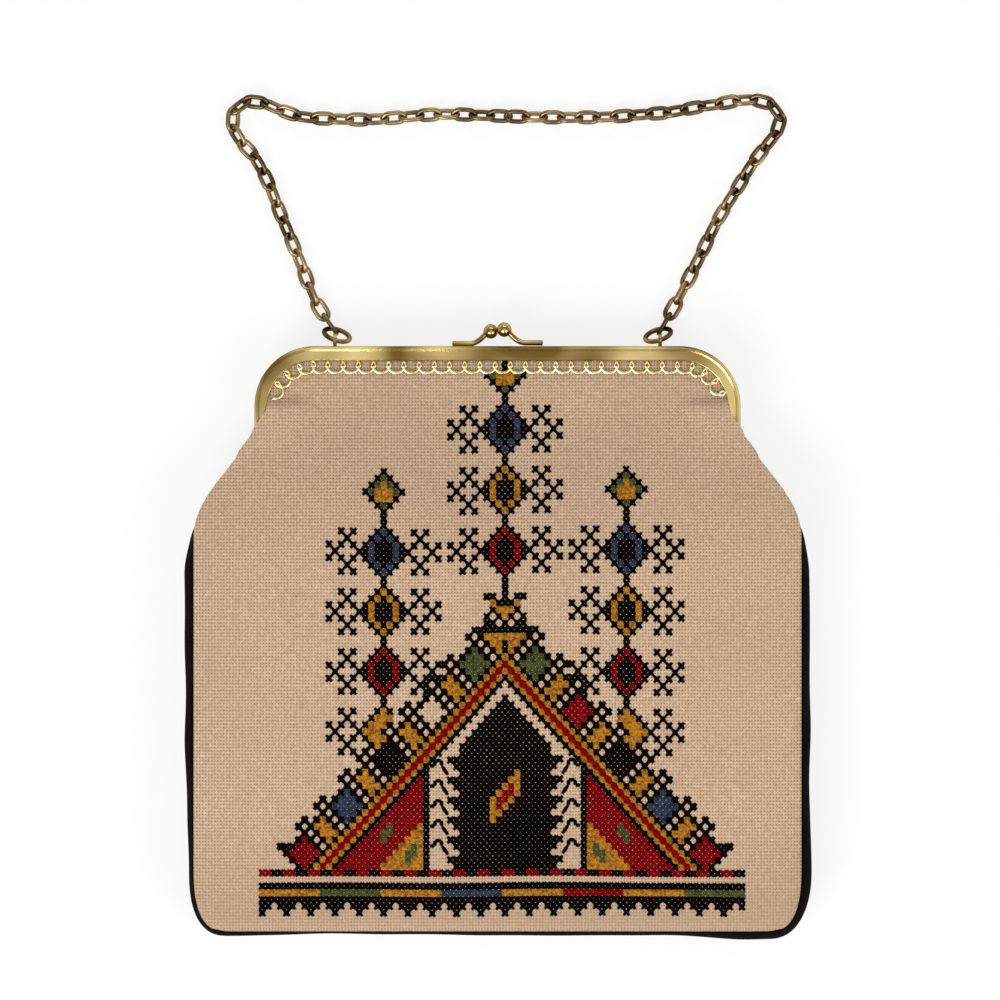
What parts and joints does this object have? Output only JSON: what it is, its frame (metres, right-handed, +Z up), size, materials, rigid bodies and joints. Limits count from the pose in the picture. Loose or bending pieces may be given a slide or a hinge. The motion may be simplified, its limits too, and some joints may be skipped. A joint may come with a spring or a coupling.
{
  "type": "needlepoint purse",
  "caption": "Needlepoint evening purse with a kiss-lock brass frame, pierced edging, velvet gusset and a chain handle, lying on its back",
  "frame": {"origin": "middle of the flat back face that rests on the table", "axes": "+X to the right across the bag, +Y from the bottom to the clasp, +Z up through the embroidered front"},
  "size_m": [0.2318, 0.3128, 0.0338],
  "materials": {
    "frame_brass": "polished, a little worn",
    "chain_brass": "dull, darkened with age",
    "cream_cloth": "evenweave cotton",
    "black_velvet": "short velvet pile",
    "lining_satin": "satin",
    "thread_black": "stranded cotton",
    "thread_red": "stranded cotton",
    "thread_yellow": "stranded cotton",
    "thread_green": "stranded cotton",
    "thread_blue": "stranded cotton"
  },
  "bodies": {
    "bag": {"back_frame": "frame_brass", "back_lace_edge": "frame_brass", "left_hinge_rivet": "frame_brass", "right_hinge_rivet": "frame_brass", "back_clasp_arm": "frame_brass", "left_ear": "frame_brass", "right_ear": "frame_brass", "front_panel": "cream_cloth", "back_panel": "black_velvet", "gusset": "black_velvet", "lining": "lining_satin", "stitches_black": "thread_black", "stitches_red": "thread_red", "stitches_yellow": "thread_yellow", "stitches_green": "thread_green", "stitches_blue": "thread_blue"},
    "front_clasp": {"front_frame": "frame_brass", "front_lace_edge": "frame_brass", "front_clasp_arm": "frame_brass"},
    "handle": {"left_jump_ring": "frame_brass", "right_jump_ring": "frame_brass", "handle_chain": "chain_brass"}
  },
  "joints": [
    {"name": "frame_open", "type": "hinge", "parent": "bag", "child": "front_clasp", "pos_m": [0, 0.093, 0.0155], "axis": [1, 0, 0], "range_deg": [0, 90]},
    {"name": "handle_swing", "type": "hinge", "parent": "bag", "child": "handle", "pos_m": [0, 0.13, 0.0118], "axis": [1, 0, 0], "range_deg": [0, 120]}
  ]
}
